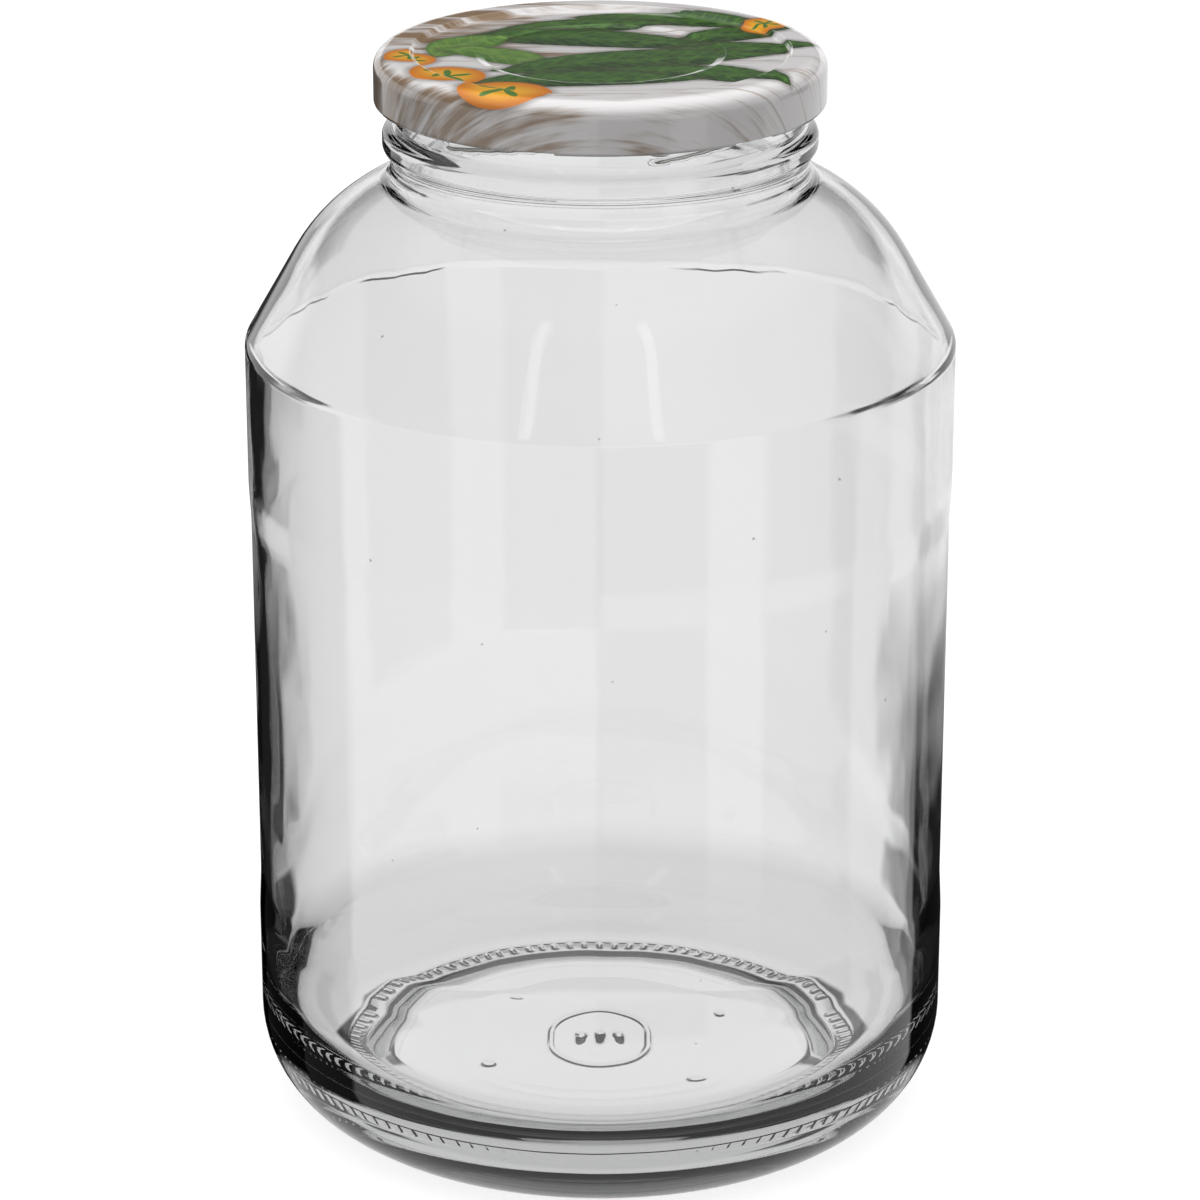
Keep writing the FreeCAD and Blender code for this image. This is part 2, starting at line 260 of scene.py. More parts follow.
# %% [markdown]
# ## Spin the glass
#
# The outline goes round the axis as one closed skin: up the outside, over the rim and down the inside. A
# Screw modifier would spin it too, but the ridges and waves change with the angle, so the rings are laid one
# by one. The ribs need far more points around than the plain wall, so each ring has its own count, and two
# rings are sewn together by always stepping on along the one that lies behind.

# %% Build the shell of the jar
AROUND_WALL, AROUND_FINE, AROUND_RIBS = 2 * RIBS, 3 * RIBS, 9 * RIBS
LIFT_END, MARKED_RADIUS, STANDING_HEIGHT, RIB_MARGIN = 12, 36, 0.5, 0.6
THREAD_FROM, WAVE_FADE = 46, 20
UNCREASED_LOW, UNCREASED_HIGH = 165, 224


def ring_points(count, point, push):
    """One ring of points about the axis, each moved by push(angle) in radius and height."""
    ring = []
    for k in range(count):
        angle = math.tau * k / count
        out, up = push(angle, point)
        radius = (point.x + out) * MM
        ring.append((radius * math.cos(angle), radius * math.sin(angle), (point.y + up) * MM))
    return ring


def stitch(low, low_count, high, high_count):
    """Faces between two rings that start at points low and high and run outwards or upwards."""
    if low_count == high_count:
        return [(low + k, low + (k + 1) % low_count, high + (k + 1) % low_count, high + k)
                for k in range(low_count)]
    faces, a, b = [], 0, 0
    while a < low_count or b < high_count:
        here, there = low + a % low_count, high + b % high_count
        if (a + 1) * high_count <= (b + 1) * low_count:
            a += 1
            faces.append((here, low + a % low_count, there))
        else:
            b += 1
            faces.append((here, high + b % high_count, there))
    return faces


def lift(height):
    """The jar stands on its ribs, so the foot between them lies a rib higher. Up the heel this dies away."""
    return RIB_HEIGHT * max(0.0, 1 - height / LIFT_END)


def push_foot(angle, point):
    """The underside: the lift, the marks in the middle and the ribs where the jar stands."""
    if point.x < MARKED_RADIUS:
        return 0.0, lift(point.y) - mark(point.x * math.cos(angle), point.x * math.sin(angle))
    return 0.0, lift(point.y) - (rib(angle, point.x) if point.y < STANDING_HEIGHT else 0.0)


def push_neck(angle, point):
    """The finish: the thread on its outside."""
    return (ridge(angle, point.y) if point.x > THREAD_FROM else 0.0), 0.0


def push_hollow(angle, point):
    """The inside: waves and the crease, or the smooth shoulder where the crease has faded."""
    fade = min(1.0, point.x / WAVE_FADE, max(0.0, (MOUTH_LOW - point.y) / WAVE_FADE))
    out = fade * unevenness(angle, point.y, point.x)
    if UNCREASED_LOW < point.y < UNCREASED_HIGH:
        out += (1 - creased(angle)) * (smoothed(point.y) - point.x)
    return out, wander(angle, point.y)


def push_body(angle, point):
    """The outside: only the lift."""
    return 0.0, lift(point.y)


SECTIONS = [(foot[1:-1], push_foot, AROUND_FINE), (body[1:], push_body, AROUND_WALL),
            (neck[1:], push_neck, AROUND_FINE), (hollow[1:-1], push_hollow, AROUND_WALL)]
verts, faces, ring_starts = [(0, 0, (foot[0].y + push_foot(0.0, foot[0])[1]) * MM)], [], []
for outline, push, count in SECTIONS:
    for point in outline:
        ribbed = push is push_foot and RIB_START - RIB_MARGIN < point.x < RIB_END + RIB_MARGIN
        around = AROUND_RIBS if ribbed else count
        ring_starts.append((len(verts), around))
        verts += ring_points(around, point, push)
verts.append((0, 0, hollow[-1].y * MM))
(first, first_count), (last, last_count) = ring_starts[0], ring_starts[-1]
faces += [(0, first + (k + 1) % first_count, first + k) for k in range(first_count)]
for (low, low_count), (high, high_count) in zip(ring_starts, ring_starts[1:]):
    faces += stitch(low, low_count, high, high_count)
faces += [(len(verts) - 1, last + k, last + (k + 1) % last_count) for k in range(last_count)]
shell_mesh = bpy.data.meshes.new("jar_shell")
shell_mesh.from_pydata(verts, [], faces)
shell_mesh.polygons.foreach_set("use_smooth", [True] * len(faces))
shell_mesh.update()
jar_shell = bpy.data.objects.new("jar_shell", shell_mesh)
bpy.context.scene.collection.objects.link(jar_shell)
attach(jar_shell, "root")
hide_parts("jar_glass")
shell_mesh.calc_loop_triangles()
print("jar shell:", len(verts), "points,", len(shell_mesh.loop_triangles), "triangles")

# %% [markdown]
# ## Small helpers for node trees
#
# A material is a graph. Wiring it by hand takes three lines a node, so two helpers do the wiring: one adds a
# node and fills its inputs with values or with links, the other starts a node group with named sockets.

# %% Node helpers
def add(tree, kind, *inputs, **settings):
    """Adds a node; each input is a value, a socket or None to leave it. Gives its first output."""
    node = tree.nodes.new("ShaderNode" + kind)
    for name, value in settings.items():
        setattr(node, name, value)
    for socket, value in zip(node.inputs, inputs):
        if isinstance(value, bpy.types.NodeSocket):
            tree.links.new(value, socket)
        elif value is not None:
            socket.default_value = value
    return node.outputs[0]


def math_node(tree, operation, *inputs):
    return add(tree, "Math", *inputs, operation=operation)


def new_group(name, inputs, outputs):
    """A shader node group; inputs and outputs are (name, socket kind, value)."""
    tree = bpy.data.node_groups.new(name, "ShaderNodeTree")
    for title, kind, value in inputs:
        socket = tree.interface.new_socket(title, in_out="INPUT", socket_type="NodeSocket" + kind)
        if value is not None:
            socket.default_value = value
    for title, kind in outputs:
        tree.interface.new_socket(title, in_out="OUTPUT", socket_type="NodeSocket" + kind)
    return tree, tree.nodes.new("NodeGroupInput").outputs, tree.nodes.new("NodeGroupOutput").inputs


def use_group(tree, group, **inputs):
    node = tree.nodes.new("ShaderNodeGroup")
    node.node_tree = group
    for title, value in inputs.items():
        socket = node.inputs[title.replace("_", " ")]
        if isinstance(value, bpy.types.NodeSocket):
            tree.links.new(value, socket)
        else:
            socket.default_value = value
    return node.outputs


def new_material(name):
    material = bpy.data.materials.new(name)
    material.use_nodes = True
    tree = material.node_tree
    return material, tree, tree.nodes["Principled BSDF"], tree.nodes["Material Output"]


print("helpers ready")

# %% [markdown]
# ## More node helpers
#
# Most finishes below are made from soft steps, colour mixes and the place on the piece in millimetres, so
# each of these gets one short helper.

# %% Helpers for steps, mixes and places
def smooth(tree, value, low, high, to_low=0.0, to_high=1.0):
    """A soft step of value between two places."""
    return add(tree, "MapRange", value, low, high, to_low, to_high, interpolation_type="SMOOTHSTEP")


def mix(tree, factor, first, second):
    """Mixes two colours."""
    node = tree.nodes.new("ShaderNodeMix")
    node.data_type = "RGBA"
    for index, value in ((0, factor), (6, first), (7, second)):
        if isinstance(value, bpy.types.NodeSocket):
            tree.links.new(value, node.inputs[index])
        else:
            node.inputs[index].default_value = (*value, 1) if index else value
    return node.outputs[2]


def place_in_mm(tree):
    """The place on the piece as x, y, z in mm, with the distance from the axis and the angle about it."""
    coordinates = tree.nodes.new("ShaderNodeTexCoord").outputs["Object"]
    scaled = add(tree, "VectorMath", coordinates, (1 / MM,) * 3, operation="MULTIPLY")
    split = tree.nodes.new("ShaderNodeSeparateXYZ")
    tree.links.new(scaled, split.inputs[0])
    x, y, z = split.outputs
    flat = add(tree, "VectorMath", scaled, (1, 1, 0), operation="MULTIPLY")
    length = tree.nodes.new("ShaderNodeVectorMath")
    length.operation = "LENGTH"
    tree.links.new(flat, length.inputs[0])
    return scaled, x, y, z, length.outputs["Value"], math_node(tree, "ARCTAN2", y, x)


print("place helpers ready")

# %% [markdown]
# ## Clear glass
#
# A thin colourless wall is nearly invisible: what the eye reads as glass is the light that it bends, the
# sharp reflections and the slight darkening where it is looked through lengthwise. So the shader is a plain
# Principled glass, the darkening is absorption in the volume of the wall, and the shape does the rest.
# Light that crosses glass on its way to a shadow is thinned by a transparent shader, which is far less
# noisy than true caustics.

# %% The glass of the jar
GLASS_INDEX, GLASS_DENSITY = 1.52, 40.0
glass, tree, shader, output = new_material("clear_moulded_glass")
glass_place = place_in_mm(tree)[0]
cloud = add(tree, "TexNoise", glass_place, None, 0.03, 1.0)
tint = mix(tree, cloud, (0.984, 0.986, 0.985), (0.993, 0.992, 0.993))
seed = add(tree, "TexVoronoi", glass_place, None, 0.045)
tree.links.new(mix(tree, smooth(tree, seed, 0.012, 0.022, 1.0, 0.0), tint, (0.30, 0.31, 0.31)),
               shader.inputs["Base Color"])
shader.inputs["Roughness"].default_value = 0.0
shader.inputs["IOR"].default_value = GLASS_INDEX
shader.inputs["Transmission Weight"].default_value = 1.0
absorb = tree.nodes.new("ShaderNodeVolumeAbsorption")
absorb.inputs["Color"].default_value = (0.57, 0.575, 0.575, 1)
absorb.inputs["Density"].default_value = GLASS_DENSITY
tree.links.new(absorb.outputs[0], output.inputs["Volume"])
thinned = tree.nodes.new("ShaderNodeBsdfTransparent")
thinned.inputs[0].default_value = (0.93, 0.94, 0.94, 1)
choose = tree.nodes.new("ShaderNodeMixShader")
tree.links.new(tree.nodes.new("ShaderNodeLightPath").outputs["Is Shadow Ray"], choose.inputs[0])
tree.links.new(shader.outputs[0], choose.inputs[1])
tree.links.new(thinned.outputs[0], choose.inputs[2])
tree.links.new(choose.outputs[0], output.inputs["Surface"])

jar_shell.data.materials.append(glass)
print("glass:", len(tree.nodes), "nodes")

# %% [markdown]
# ## Where the print lies
#
# A cap is printed flat, as a round sheet, and only then pressed. The print on its skirt is therefore the
# outer rim of a flat picture, bent down: straight boards on the top become curved streaks on the skirt. The
# group below unrolls the skirt again, so that everything painted after it can think of a flat sheet.

# %% A group that unrolls the cap to the flat sheet
sheet, _, sheet_out = new_group("Flat printed sheet", [], [("Place", "Vector"), ("Radius", "Float")])
place, x, y, z, radius, angle = place_in_mm(sheet)
fall = math_node(sheet, "MAXIMUM", math_node(sheet, "SUBTRACT", CAP_TOP - 0.3, z), 0.0)
fall = math_node(sheet, "MULTIPLY", fall, smooth(sheet, radius, 45.5, 48.5))
flat_radius = math_node(sheet, "ADD", radius, fall)
flat_place = add(sheet, "CombineXYZ",
                 math_node(sheet, "MULTIPLY", flat_radius, math_node(sheet, "COSINE", angle)),
                 math_node(sheet, "MULTIPLY", flat_radius, math_node(sheet, "SINE", angle)), 0.0)
sheet.links.new(flat_place, sheet_out["Place"])
sheet.links.new(flat_radius, sheet_out["Radius"])
print("sheet group:", len(sheet.nodes), "nodes")

# %% [markdown]
# ## Whitewashed boards
#
# The ground of the print is pale painted wood. Real grain is noise that is drawn out along the board: a
# coarse layer gives the broad brown flushes where paint has worn off, a fine one the hairlines.

# %% A group for the painted boards
boards, boards_in, boards_out = new_group(
    "Whitewashed boards",
    [("Place", "Vector", None), ("Paint", "Color", (0.80, 0.78, 0.78, 1)),
     ("Wood", "Color", (0.28, 0.18, 0.10, 1)), ("Wear", "Float", 0.5)],
    [("Color", "Color")])


def drawn_out(tree, vector, along, across, scale, detail, seed):
    """Noise that is longer in x than in y."""
    stretched = add(tree, "VectorMath", vector, (1 / along, 1 / across, 1.0), operation="MULTIPLY")
    moved = add(tree, "VectorMath", stretched, (seed, seed * 0.37, seed), operation="ADD")
    return add(tree, "TexNoise", moved, None, scale, detail, 0.6, 2.0, 0.35, noise_dimensions="3D")


broad = drawn_out(boards, boards_in["Place"], 34.0, 5.5, 1.0, 3.0, 4.0)
fine_grain = drawn_out(boards, boards_in["Place"], 26.0, 0.9, 1.0, 4.0, 9.0)
split = boards.nodes.new("ShaderNodeSeparateXYZ")
boards.links.new(boards_in["Place"], split.inputs[0])
to_left = smooth(boards, split.outputs[0], -44.0, 4.0, 0.24, 0.0)
to_back = smooth(boards, split.outputs[1], -12.0, 12.0)
from_axis = boards.nodes.new("ShaderNodeVectorMath")
from_axis.operation = "LENGTH"
boards.links.new(boards_in["Place"], from_axis.inputs[0])
on_rim = smooth(boards, from_axis.outputs["Value"], 47.0, 53.0)
worn_corner = math_node(boards, "MULTIPLY", to_left, math_node(boards, "MAXIMUM", to_back, on_rim))
worn = math_node(boards, "ADD", broad, worn_corner)
worn = math_node(boards, "MULTIPLY_ADD", fine_grain, 0.32, worn)
worn = math_node(boards, "SUBTRACT", worn, math_node(boards, "SUBTRACT", 0.35, math_node(
    boards, "MULTIPLY", boards_in["Wear"], 0.3)))
bare = smooth(boards, worn, 0.46, 0.72)
hair = math_node(boards, "MULTIPLY", smooth(boards, fine_grain, 0.52, 0.66),
                 smooth(boards, broad, 0.42, 0.62))
bare = math_node(boards, "MAXIMUM", bare, math_node(boards, "MULTIPLY", hair, 0.55))
joint_place = math_node(boards, "PINGPONG", math_node(boards, "ADD", split.outputs[1], 8.0), 15.0)
joint = smooth(boards, joint_place, 0.15, 0.5, 0.5, 0.0)
bare = math_node(boards, "MAXIMUM", bare, joint)
boards.links.new(mix(boards, bare, boards_in["Paint"], boards_in["Wood"]), boards_out["Color"])
print("boards group:", len(boards.nodes), "nodes")

# %% [markdown]
# ## Leaves and small tomatoes
#
# The print needs motifs at the size of the real ones. Each is a small formula, not a picture: a leaf is a
# lens with pointed ends, a midrib and slanting veins, a tomato is a shaded disc with a green star. Every
# group takes the colour under it and lays its own on top, so a print is a chain from the back to the front.

# %% Groups for a leaf and a tomato
def local_place(tree, vector, x, y, turn):
    """The place in the frame of a motif: x along it, y across."""
    moved = add(tree, "VectorMath", vector, add(tree, "CombineXYZ", x, y, 0.0), operation="SUBTRACT")
    node = tree.nodes.new("ShaderNodeVectorRotate")
    node.rotation_type = "Z_AXIS"
    tree.links.new(moved, node.inputs["Vector"])
    tree.links.new(math_node(tree, "MULTIPLY", turn, -1.0), node.inputs["Angle"])
    parts = tree.nodes.new("ShaderNodeSeparateXYZ")
    tree.links.new(node.outputs[0], parts.inputs[0])
    return node.outputs[0], parts.outputs[0], parts.outputs[1]


leaf, leaf_in, leaf_out = new_group(
    "Printed leaf",
    [("Under", "Color", None), ("Place", "Vector", None), ("X", "Float", 0.0), ("Y", "Float", 0.0),
     ("Turn", "Float", 0.0), ("Length", "Float", 50.0), ("Width", "Float", 14.0),
     ("Dark", "Color", (0.008, 0.034, 0.009, 1)), ("Light", "Color", (0.085, 0.21, 0.035, 1))],
    [("Color", "Color")])
leaf_place, along, across = local_place(leaf, leaf_in["Place"], leaf_in["X"], leaf_in["Y"], leaf_in["Turn"])
share = math_node(leaf, "DIVIDE", along, math_node(leaf, "MULTIPLY", leaf_in["Length"], 0.5))
lens = math_node(leaf, "SUBTRACT", 1.0, math_node(leaf, "POWER", math_node(leaf, "ABSOLUTE", share), 2.4))
bow = math_node(leaf, "MULTIPLY", math_node(leaf, "MULTIPLY", share, share), leaf_in["Width"])
bow = math_node(leaf, "MULTIPLY", bow, 0.25)
across = math_node(leaf, "ADD", across, bow)
off_rib = math_node(leaf, "ABSOLUTE", across)
edge_noise = add(leaf, "TexNoise", leaf_place, None, 0.55, 2.0)
half_width = math_node(leaf, "MULTIPLY", lens, math_node(leaf, "MULTIPLY", leaf_in["Width"], 0.5))
half_width = math_node(leaf, "MULTIPLY_ADD", edge_noise, 0.9, math_node(leaf, "SUBTRACT", half_width, 0.45))
inside_by = math_node(leaf, "SUBTRACT", half_width, off_rib)
body_mask = smooth(leaf, inside_by, -0.12, 0.12)
shadow = smooth(leaf, inside_by, -2.6, 0.2, 0.0, 0.55)
vein_phase = math_node(leaf, "MULTIPLY_ADD", off_rib, -0.9, along)
vein = smooth(leaf, math_node(leaf, "PINGPONG", vein_phase, 1.9), 0.0, 0.55, 0.55, 0.0)
rib_line = smooth(leaf, off_rib, 0.18, 0.42, 0.9, 0.0)
tone = add(leaf, "TexNoise", leaf_place, None, 0.22, 4.0, 0.65)
sheen_side = smooth(leaf, math_node(leaf, "DIVIDE", across, leaf_in["Width"]), -0.45, 0.45, 0.0, 0.45)
light_part = math_node(leaf, "ADD", smooth(leaf, tone, 0.40, 0.72, 0.0, 0.75), sheen_side)
light_part = math_node(leaf, "ADD", light_part, math_node(leaf, "MAXIMUM", vein, rib_line))
light_part = math_node(leaf, "MULTIPLY", light_part, smooth(leaf, inside_by, 0.0, 1.6, 0.35, 1.0))
painted = mix(leaf, light_part, leaf_in["Dark"], leaf_in["Light"])
shaded = mix(leaf, shadow, leaf_in["Under"], (0.10, 0.08, 0.06))
leaf.links.new(mix(leaf, body_mask, shaded, painted), leaf_out["Color"])

tomato, tomato_in, tomato_out = new_group(
    "Printed tomato",
    [("Under", "Color", None), ("Place", "Vector", None), ("X", "Float", 0.0), ("Y", "Float", 0.0),
     ("Turn", "Float", 0.0), ("Radius", "Float", 7.0), ("Skin", "Color", (0.90, 0.44, 0.02, 1)),
     ("Shade", "Color", (0.70, 0.20, 0.01, 1))],
    [("Color", "Color")])
tomato_place, along, across = local_place(tomato, tomato_in["Place"], tomato_in["X"], tomato_in["Y"],
                                          tomato_in["Turn"])
off = tomato.nodes.new("ShaderNodeVectorMath")
off.operation = "LENGTH"
tomato.links.new(tomato_place, off.inputs[0])
off = off.outputs["Value"]
round_mask = smooth(tomato, math_node(tomato, "SUBTRACT", tomato_in["Radius"], off), -0.12, 0.12)
shadow = smooth(tomato, math_node(tomato, "SUBTRACT", tomato_in["Radius"], off), -2.4, 0.2, 0.0, 0.5)
share = math_node(tomato, "DIVIDE", off, tomato_in["Radius"])
rounding = smooth(tomato, share, 0.35, 1.05)
skin = mix(tomato, rounding, tomato_in["Skin"], tomato_in["Shade"])
bearing = math_node(tomato, "ARCTAN2", across, along)
points = math_node(tomato, "COSINE", math_node(tomato, "MULTIPLY", bearing, 2.5))
points = math_node(tomato, "ABSOLUTE", points)
star_reach = math_node(tomato, "MULTIPLY_ADD", math_node(tomato, "POWER", points, 3.0), 0.55, 0.12)
star = smooth(tomato, math_node(tomato, "SUBTRACT", star_reach, share), -0.03, 0.03)
fruit = mix(tomato, star, skin, (0.09, 0.22, 0.03))
shaded = mix(tomato, shadow, tomato_in["Under"], (0.12, 0.08, 0.05))
tomato.links.new(mix(tomato, round_mask, shaded, fruit), tomato_out["Color"])
print("leaf:", len(leaf.nodes), "nodes; tomato:", len(tomato.nodes), "nodes")

# %% [markdown]
# ## The printed cap
#
# Sheet steel is coated white, printed and varnished, so the metal itself never shows: the finish is a
# paint under a clear glossy coat. Inside, the cap has a pale lacquer. One material serves both sides of the
# sheet: what faces up near the top, or outwards on the skirt, is printed.

# %% The print, the varnish and the lacquer
cap_finish, tree, shader, _ = new_material("varnished_print")
flat = use_group(tree, sheet)
ground = use_group(tree, boards, Place=flat["Place"], Wear=0.45)["Color"]
# Each leaf is its place, its turn in degrees, its length and width, and 1 for a young pale one.
LEAVES = [(16, 33, -12, 46, 12, 0), (-6, 27, 14, 44, 12, 0), (30, 18, 28, 42, 13, 0), (-2, 16, -9, 58, 16, 0),
          (-32, 8, 52, 27, 13, 1), (27, 3, 9, 46, 14, 0), (-22, -1, -30, 30, 13, 1), (6, -5, 14, 66, 18, 0),
          (24, -18, -22, 44, 14, 0), (-4, -23, 6, 54, 16, 0)]
for leaf_x, leaf_y, turn, length, width, young in LEAVES:
    tones = {"Dark": (0.060, 0.170, 0.025, 1), "Light": (0.20, 0.36, 0.07, 1)} if young else {}
    ground = use_group(tree, leaf, Under=ground, Place=flat["Place"], X=leaf_x, Y=leaf_y,
                       Turn=math.radians(turn), Length=length, Width=width, **tones)["Color"]
# Each tomato is its place, its turn in degrees and its radius.
TOMATOES = [(-34, -22, 20, 8.5), (-21, -38, 75, 10.5), (-43, -7, 130, 6.0), (38, 24, 200, 5.5)]
for fruit_x, fruit_y, turn, size in TOMATOES:
    ground = use_group(tree, tomato, Under=ground, Place=flat["Place"], X=fruit_x, Y=fruit_y,
                       Turn=math.radians(turn), Radius=size)["Color"]

geometry = tree.nodes.new("ShaderNodeNewGeometry")
_, x, y, z, radius, _ = place_in_mm(tree)
facing = tree.nodes.new("ShaderNodeSeparateXYZ")
tree.links.new(geometry.outputs["Normal"], facing.inputs[0])
facing_up = math_node(tree, "GREATER_THAN", facing.outputs[2], 0.12)
on_top = math_node(tree, "MULTIPLY", facing_up, math_node(tree, "GREATER_THAN", z, CAP_TOP - 4))
outwards = math_node(tree, "MULTIPLY", y, facing.outputs[1])
outwards = math_node(tree, "MULTIPLY_ADD", x, facing.outputs[0], outwards)
on_skirt = math_node(tree, "MULTIPLY", math_node(tree, "GREATER_THAN", outwards, 5.0),
                     math_node(tree, "GREATER_THAN", radius, CAP_RADIUS - 1.5))
outside_face = math_node(tree, "MAXIMUM", on_top, on_skirt)
# Painted shade: the print on the skirt is darkened towards its lower edge, standing in for the shade on the
# side of the cap.
lower_down = smooth(tree, z, CAP_TOP - 3.5, CAP_TOP - 0.5, 0.36, 0.0)
ground = mix(tree, lower_down, ground, (0.10, 0.095, 0.09))
tree.links.new(mix(tree, outside_face, (0.72, 0.70, 0.64), ground), shader.inputs["Base Color"])
shader.inputs["Roughness"].default_value = 0.35
shader.inputs["Coat Weight"].default_value = 1.0
shader.inputs["Coat Roughness"].default_value = 0.02
lacquer = add(tree, "TexNoise", add(tree, "VectorMath", geometry.outputs["Position"], (900,) * 3,
                                    operation="MULTIPLY"), None, 0.3, 2.0)
bump = tree.nodes.new("ShaderNodeBump")
bump.inputs["Strength"].default_value = 1.0
bump.inputs["Distance"].default_value = 0.004 * MM
tree.links.new(lacquer, bump.inputs["Height"])
tree.links.new(bump.outputs[0], shader.inputs["Normal"])
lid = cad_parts["lid"]
lid.data.materials.clear()
lid.data.materials.append(cap_finish)
for polygon in lid.data.polygons:
    polygon.material_index = 0
print("cap finish:", len(tree.nodes), "nodes,", len(LEAVES), "leaves,", len(TOMATOES), "tomatoes")

# %% [markdown]
# ## The sealing ring
#
# A soft ring of cast compound lies in the channel of the cap. It is matt, off-white and slightly uneven.

# %% The seal
seal_finish, tree, shader, _ = new_material("cast_sealing_compound")
place = place_in_mm(tree)[0]
mottle = add(tree, "TexNoise", place, None, 0.8, 3.0)
tree.links.new(mix(tree, mottle, (0.66, 0.65, 0.61), (0.78, 0.77, 0.73)), shader.inputs["Base Color"])
tree.links.new(smooth(tree, mottle, 0.2, 0.8, 0.45, 0.6), shader.inputs["Roughness"])
bump = tree.nodes.new("ShaderNodeBump")
bump.inputs["Distance"].default_value = 0.03 * MM
tree.links.new(mottle, bump.inputs["Height"])
tree.links.new(bump.outputs[0], shader.inputs["Normal"])
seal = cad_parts["lid_seal"]
seal.data.materials.clear()
seal.data.materials.append(seal_finish)
print("seal:", len(tree.nodes), "nodes")

# %% [markdown]
# ## Light for glass
#
# Glass shown in an evenly white room looks like fog. A studio keeps the room bright and stands dark
# cards beside the view: the clear middle shows the bright wall, and the rims, which bend the view sideways,
# pick up a card and draw themselves in black. The world below does so for rays that have passed through the
# glass or bounced off it. A card is a patch of bearing and rise, where rise is the sine of the angle above
# the horizon; each side of the jar needs its own, as low as the views across it look down.

# %% A group for one card
card, card_in, card_out = new_group(
    "Studio card",
    [("Bearing", "Float", 0.0), ("Rise", "Float", 0.0), ("Centre", "Float", 0.0),
     ("Half width", "Float", 0.2), ("Low", "Float", -0.5), ("High", "Float", 0.1)],
    [("Cover", "Float")])
CARD_SOFT = math.radians(1.5)
turned = math_node(card, "SUBTRACT", card_in["Bearing"], card_in["Centre"])
beside = math_node(card, "ABSOLUTE", math_node(card, "WRAP", turned, math.pi, -math.pi))
within = math_node(card, "DIVIDE", math_node(card, "SUBTRACT", card_in["Half width"], beside), CARD_SOFT)
over = math_node(card, "DIVIDE", math_node(card, "SUBTRACT", card_in["Rise"], card_in["Low"]), 0.03)
under = math_node(card, "DIVIDE", math_node(card, "SUBTRACT", card_in["High"], card_in["Rise"]), 0.03)
least = math_node(card, "MINIMUM", within, math_node(card, "MINIMUM", over, under))
card.links.new(smooth(card, least, -1.0, 1.0), card_out["Cover"])
print("card group:", len(card.nodes), "nodes")

# %% [markdown]
# ## The room round the jar
#
# Lamps and real cards could stand round the jar, but then each would need a place out of sight. A world that
# paints them by direction is simpler, and it can tell apart what the eye, a reflection and the glass see. The
# cards are placed for one view, so in other light the glass looks different. Two things are no real room.
# Light that bounces off the glass meets a plain room with one more card in it. And light that has gone
# through glass three times or more meets a grey board where a card is, so that the jar is not black there.

# %% The studio world
world = bpy.data.worlds.new("studio")
bpy.context.scene.world = world
world.use_nodes = True
tree = world.node_tree
direction = tree.nodes.new("ShaderNodeTexCoord").outputs["Generated"]
split = tree.nodes.new("ShaderNodeSeparateXYZ")
tree.links.new(direction, split.inputs[0])
bearing = math_node(tree, "ARCTAN2", split.outputs[0], split.outputs[1])
rise = split.outputs[2]
# Each card is its bearing and half width in degrees, its lowest and highest rise, and how dark it is.
CARDS = [(-19, 7.5, -0.52, -0.335, 0.985), (-39, 22, -0.52, -0.27, 0.985), (-28, 7, -0.52, -0.16, 0.985),
         (29.2, 20.8, -0.52, -0.355, 0.985),
         (0, 40, 0.15, 0.34, 0.95), (-72, 16, -0.56, -0.24, 0.9), (107, 18, -0.40, 0.06, 0.7),
         (163, 18, -0.40, 0.06, 0.7), (67, 14, -0.17, 0.10, 0.9), (113, 14, -0.17, 0.10, 0.9)]
# A board is the same, with its light in place of its darkness.
BOARDS = [(-45, 9.5, -0.58, -0.24, 0.68)]


def cover(centre, half, low, high):
    """How far a card covers this direction of the world."""
    return use_group(tree, card, Bearing=bearing, Rise=rise, Centre=math.radians(centre),
                     Half_width=math.radians(half), Low=low, High=high)["Cover"]


covered = 0.0
for centre, half, low, high, darkness in CARDS:
    dark = math_node(tree, "MULTIPLY", cover(centre, half, low, high), darkness)
    covered = math_node(tree, "MAXIMUM", dark, covered)
table = smooth(tree, rise, -0.62, -0.40, 0.80, 0.93)
wall = smooth(tree, rise, -0.20, -0.05, table, 1.0)
room = math_node(tree, "MULTIPLY", wall, math_node(tree, "SUBTRACT", 1.0, covered))
plain_room = room
light_path = tree.nodes.new("ShaderNodeLightPath")
across_jar = math_node(tree, "GREATER_THAN", light_path.outputs["Transmission Depth"], 2.5)
for centre, half, low, high, light in BOARDS:
    lit = math_node(tree, "MULTIPLY", cover(centre, half, low, high), light)
    lit = math_node(tree, "MULTIPLY", lit, across_jar)
    room = math_node(tree, "MAXIMUM", room, lit)
flag = math_node(tree, "MULTIPLY", smooth(tree, rise, 0.14, 0.24),
                 smooth(tree, rise, 0.55, 0.80, 1.0, 0.45))
shaded = math_node(tree, "MAXIMUM", flag, cover(-15, 9, -0.52, -0.14))
unshaded = math_node(tree, "SUBTRACT", 1.0, math_node(tree, "MULTIPLY", shaded, 0.95))
mirrored = math_node(tree, "MULTIPLY", plain_room, unshaded)
around = smooth(tree, rise, 0.0, 0.9, 0.03, 1.25)
level = mix(tree, light_path.outputs["Is Glossy Ray"], around, mirrored)
level = mix(tree, light_path.outputs["Is Transmission Ray"], level, room)
level = mix(tree, light_path.outputs["Is Camera Ray"], level, (1.0,) * 3)
background = tree.nodes["Background"]
tree.links.new(level, background.inputs["Color"])
background.inputs["Strength"].default_value = 1.0
print(len(CARDS), "dark cards and", len(BOARDS), "grey board round the jar")

# %% [markdown]
# Two tall soft boxes stand in front and give the jar its window-like highlights on the shoulder; a large one
# hangs overhead, so that the cap is evenly lit and the jar stands in its own soft shadow. It is hidden from
# reflections and from light that comes through glass, where its shape would show.

# %% Soft boxes
SHOULDER_HEIGHT = 0.2


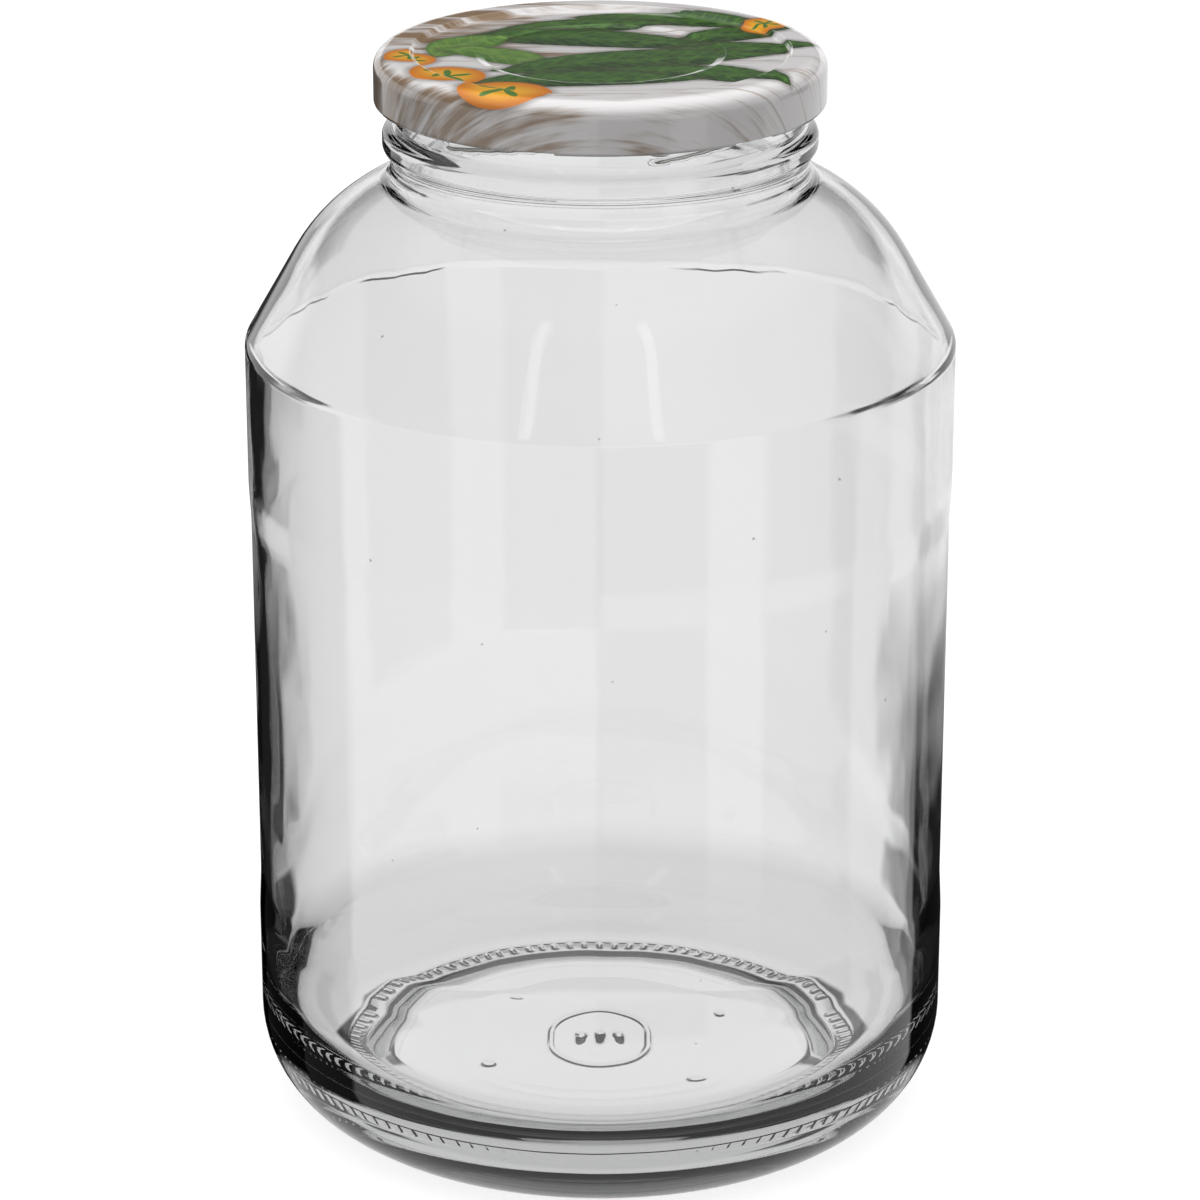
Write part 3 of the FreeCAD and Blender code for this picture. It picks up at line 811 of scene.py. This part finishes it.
def soft_box(name, bearing, rise, distance, width, height, power):
    """An area light at a bearing (degrees, 0 = front) and rise (degrees) that looks at the shoulder."""
    light = bpy.data.lights.new(name, "AREA")
    light.shape, light.size, light.size_y, light.energy = "RECTANGLE", width, height, power
    lamp = bpy.data.objects.new(name, light)
    bpy.context.scene.collection.objects.link(lamp)
    target = Vector((0, 0, SHOULDER_HEIGHT))
    a, e = math.radians(bearing), math.radians(rise)
    away = Vector((math.sin(a) * math.cos(e), -math.cos(a) * math.cos(e), math.sin(e)))
    lamp.location = target + distance * away
    lamp.rotation_euler = (target - lamp.location).to_track_quat("-Z", "Y").to_euler()
    lamp.visible_camera = False
    return lamp


soft_box("soft_box_left", -26, 42, 1.3, 0.08, 0.55, 0.13)
soft_box("soft_box_right", 20, 42, 1.3, 0.07, 0.55, 0.10)
overhead = soft_box("soft_box_above", 5, 70, 1.3, 1.1, 1.0, 6)
overhead.visible_glossy = overhead.visible_transmission = False
print("three soft boxes")

# %% [markdown]
# ## The floor
#
# The floor is a wide pale disc. A little light of its own, seen only by the camera, lifts it to the white of
# the background, while the shadow of the jar stays on it.

# %% Floor
FLOOR_RADIUS, FLOOR_CORNERS, FLOOR_GLOW = 6.0, 64, 0.70
floor_points = [(FLOOR_RADIUS * math.cos(math.tau * k / FLOOR_CORNERS),
                 FLOOR_RADIUS * math.sin(math.tau * k / FLOOR_CORNERS), 0)
                for k in range(FLOOR_CORNERS)]
floor_mesh = bpy.data.meshes.new("floor")
floor_mesh.from_pydata(floor_points, [], [list(range(FLOOR_CORNERS))])
floor = bpy.data.objects.new("floor", floor_mesh)
bpy.context.scene.collection.objects.link(floor)
floor.visible_transmission = False
floor.visible_glossy = False
floor_finish, tree, shader, _ = new_material("white_floor")
shader.inputs["Roughness"].default_value = 0.9
shader.inputs["Specular IOR Level"].default_value = 0.0
soft_tone = add(tree, "TexNoise", place_in_mm(tree)[0], None, 0.01, 2.0)
tree.links.new(mix(tree, soft_tone, (0.40,) * 3, (0.42,) * 3), shader.inputs["Base Color"])
glow = tree.nodes.new("ShaderNodeLightPath").outputs["Is Camera Ray"]
tree.links.new(math_node(tree, "MULTIPLY", glow, FLOOR_GLOW), shader.inputs["Emission Strength"])
shader.inputs["Emission Color"].default_value = (1, 1, 1, 1)
floor_mesh.materials.append(floor_finish)
print("floor:", FLOOR_RADIUS * 2, "m across")

# %% [markdown]
# ## The camera
#
# The jar is seen from a little above, from about a metre, with a long lens that fills the square picture
# with it.

# %% Camera
camera_data = bpy.data.cameras.new("camera")
CAMERA_PLACE, LOOKS_DOWN = (-0.0001, -1.0320, 0.5048), 20.28
camera_data.lens, camera_data.sensor_width = 139.58, 36.0
camera = bpy.data.objects.new("camera", camera_data)
bpy.context.scene.collection.objects.link(camera)
camera.location = CAMERA_PLACE
camera.rotation_euler = (math.radians(90 - LOOKS_DOWN), 0, 0)
bpy.context.scene.camera = camera
bpy.context.scene.view_settings.view_transform = "Standard"
print("camera at", tuple(round(v, 3) for v in camera.location))
